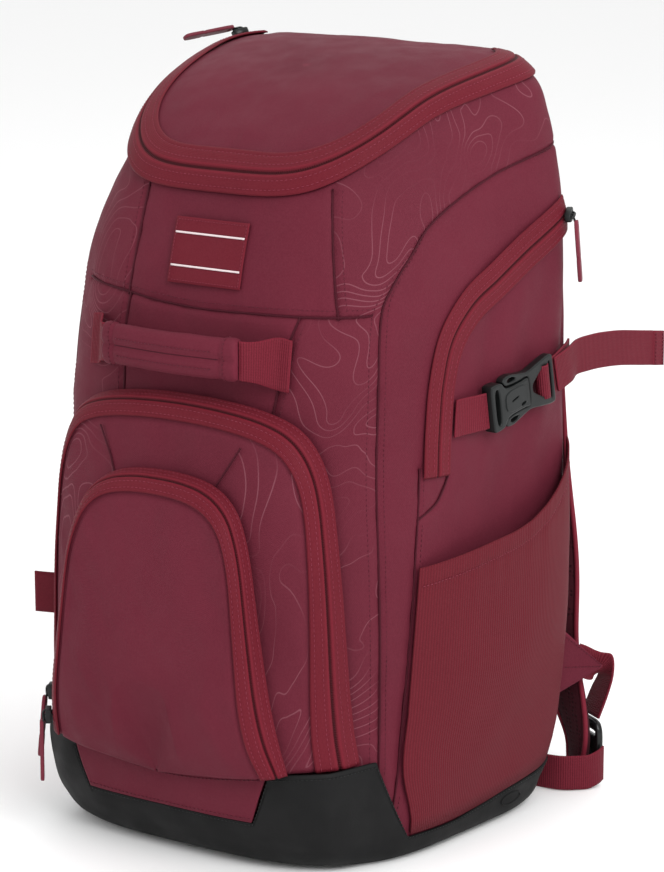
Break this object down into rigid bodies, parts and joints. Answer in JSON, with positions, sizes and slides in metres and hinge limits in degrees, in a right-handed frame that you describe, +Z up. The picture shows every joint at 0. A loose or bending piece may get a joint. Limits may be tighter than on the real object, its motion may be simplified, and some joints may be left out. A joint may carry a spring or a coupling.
{
  "type": "baseball bat backpack",
  "caption": "Tall soft-sided sports backpack with arched front pockets, zipped lid, side stretch pockets, moulded base boot, side buckles and padded shoulder straps.",
  "frame": {"origin": "centre of the base boot's flat underside, on the floor", "axes": "+Z up, the front with the pockets faces -Y, the back panel and shoulder straps face +Y, +X is the right side seen from the front"},
  "size_m": [0.3362, 0.4021, 0.5356],
  "materials": {
    "cloth": "coated polyester with a soft sheen",
    "zip": "woven zip tape, covered coil",
    "mesh": "ribbed stretch knit",
    "web": "ribbed polyester webbing",
    "rubber": "matte coated base",
    "buckle": "moulded black acetal",
    "panel": "air mesh over foam",
    "pull": "moulded pull with cloth inlay"
  },
  "bodies": {
    "root": {"adjuster_web_left": "web", "adjuster_web_right": "web", "back_panel": "panel", "base_boot": "rubber", "buckle_female_left": "buckle", "buckle_female_right": "buckle", "buckle_male_left": "buckle", "buckle_male_right": "buckle", "front_band": "cloth", "front_pocket_large": "cloth", "front_pocket_small": "cloth", "handle_end_left": "web", "handle_end_right": "web", "handle_grip": "cloth", "haul_loop": "web", "label_patch": "cloth", "ladder_lock_left": "buckle", "ladder_lock_right": "buckle", "large_pocket_zipper": "zip", "large_pull": "pull", "large_slider": "buckle", "lid": "cloth", "lid_pull": "pull", "lid_slider": "buckle", "lid_zipper": "zip", "lower_web_left": "web", "lower_web_right": "web", "main_shell_floor": "cloth", "main_shell_front": "cloth", "main_shell_front_left": "cloth", "main_shell_front_right": "cloth", "main_shell_back": "cloth", "main_shell_left": "cloth", "main_shell_right": "cloth", "shoulder_strap_left": "panel", "shoulder_strap_right": "panel", "side_left_pull": "pull", "side_left_slider": "buckle", "side_pocket_left": "mesh", "side_pocket_right": "mesh", "side_right_pull": "pull", "side_right_slider": "buckle", "side_strap_back_left": "web", "side_strap_back_right": "web", "side_strap_front_left": "web", "side_strap_front_right": "web", "side_strap_tail_left": "web", "side_strap_tail_right": "web", "side_tag": "cloth", "side_zipper_left": "zip", "side_zipper_right": "zip", "small_pocket_zipper": "zip", "small_pull": "pull", "small_slider": "buckle", "strap_wing_left": "cloth", "strap_wing_right": "cloth"}
  },
  "joints": []
}
